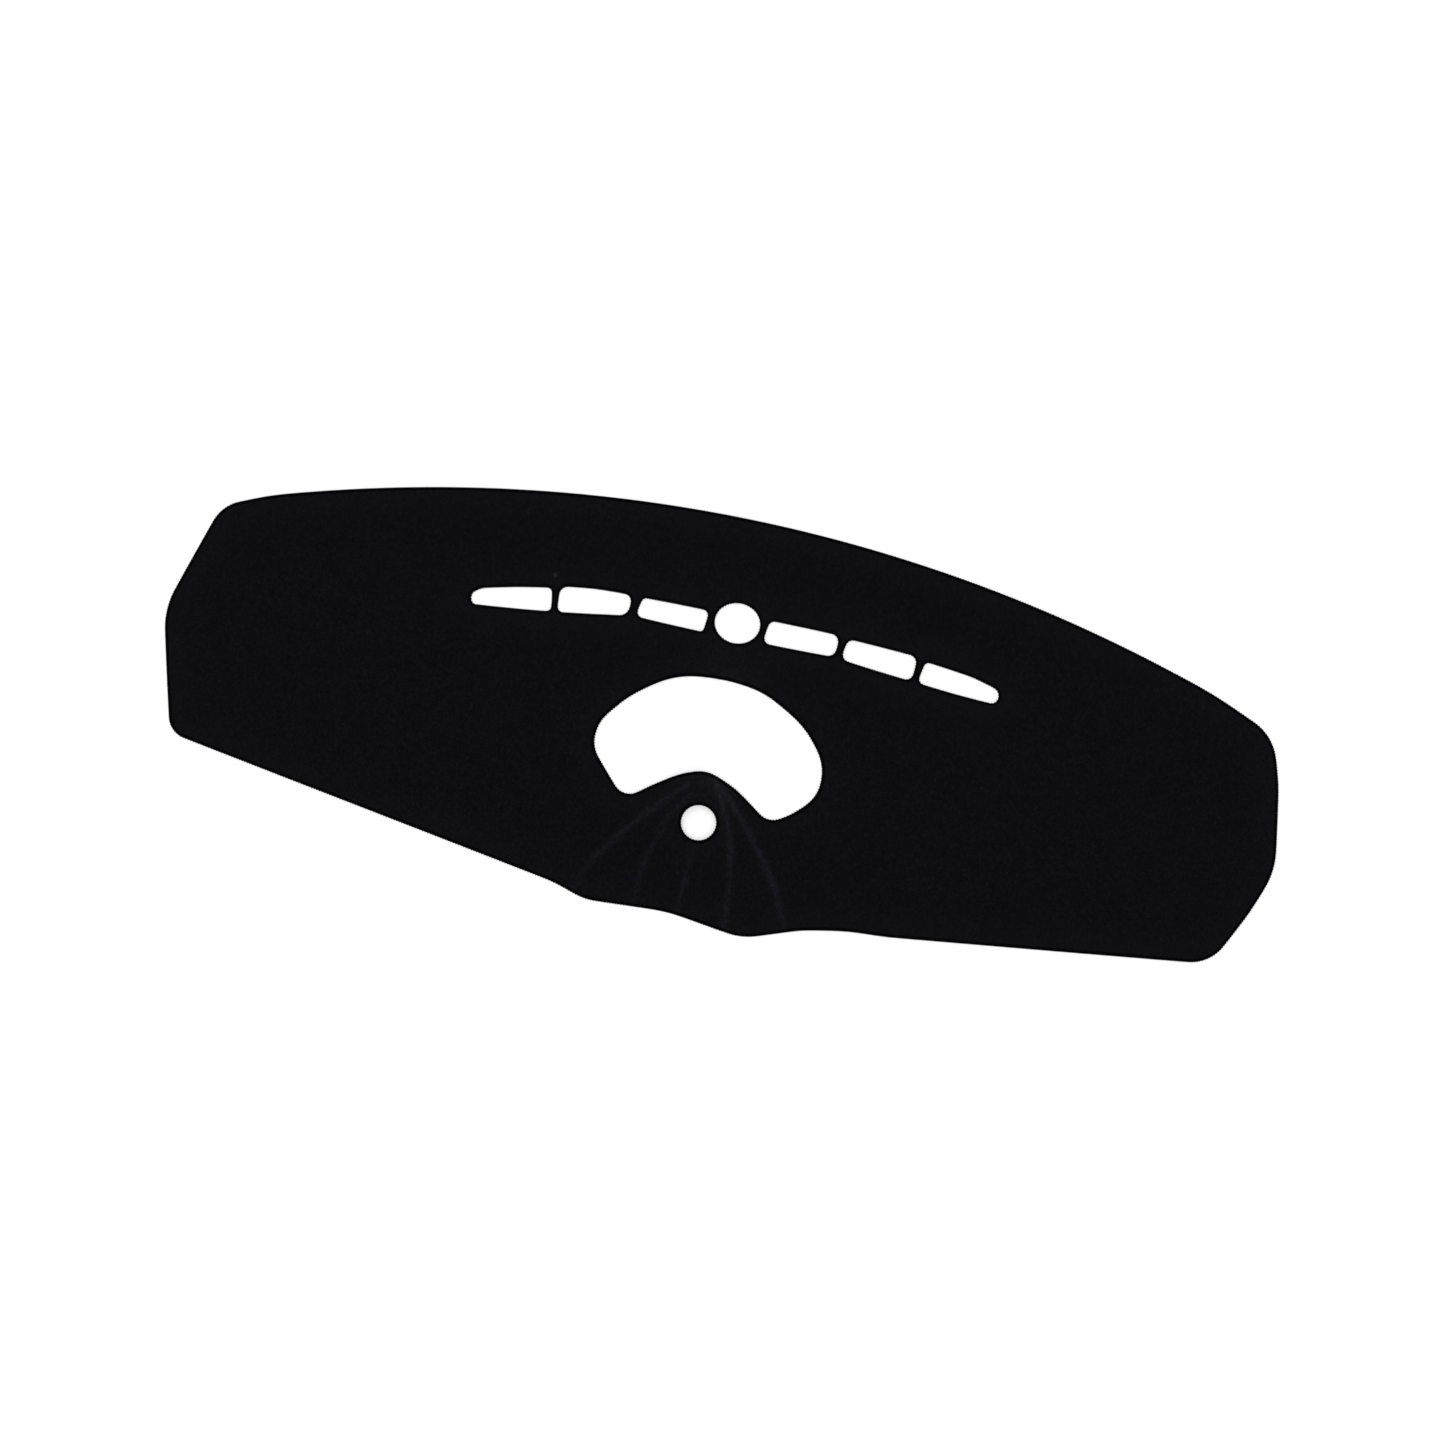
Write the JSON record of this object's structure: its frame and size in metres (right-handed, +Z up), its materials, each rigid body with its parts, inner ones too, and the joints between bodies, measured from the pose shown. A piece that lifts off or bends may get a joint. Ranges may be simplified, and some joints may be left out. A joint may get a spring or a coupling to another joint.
{
  "type": "dashboard cover mat",
  "caption": "Black felt mat cut to cover the top of a car dashboard, with vent slots, a display opening, round holes, pinched folds over the hood and overlocked edges.",
  "frame": {"origin": "on the floor under the middle of the mat's plan", "axes": "+X along the mat's length to the right, +Y towards the windscreen edge, +Z up from the felt's underside"},
  "size_m": [1.4, 0.5062, 0.015],
  "materials": {
    "felt": "matte black needle-punched felt, very low sheen",
    "overlock_thread": "black spun polyester overlock thread, soft sheen"
  },
  "bodies": {
    "root": {"mat_sheet": "felt", "outer_edge_overlock": "overlock_thread", "display_opening_overlock": "overlock_thread", "vent_slot_1_overlock": "overlock_thread", "vent_slot_2_overlock": "overlock_thread", "vent_slot_3_overlock": "overlock_thread", "vent_slot_4_overlock": "overlock_thread", "vent_slot_5_overlock": "overlock_thread", "vent_slot_6_overlock": "overlock_thread", "sensor_hole_overlock": "overlock_thread", "front_hole_overlock": "overlock_thread"}
  },
  "joints": []
}
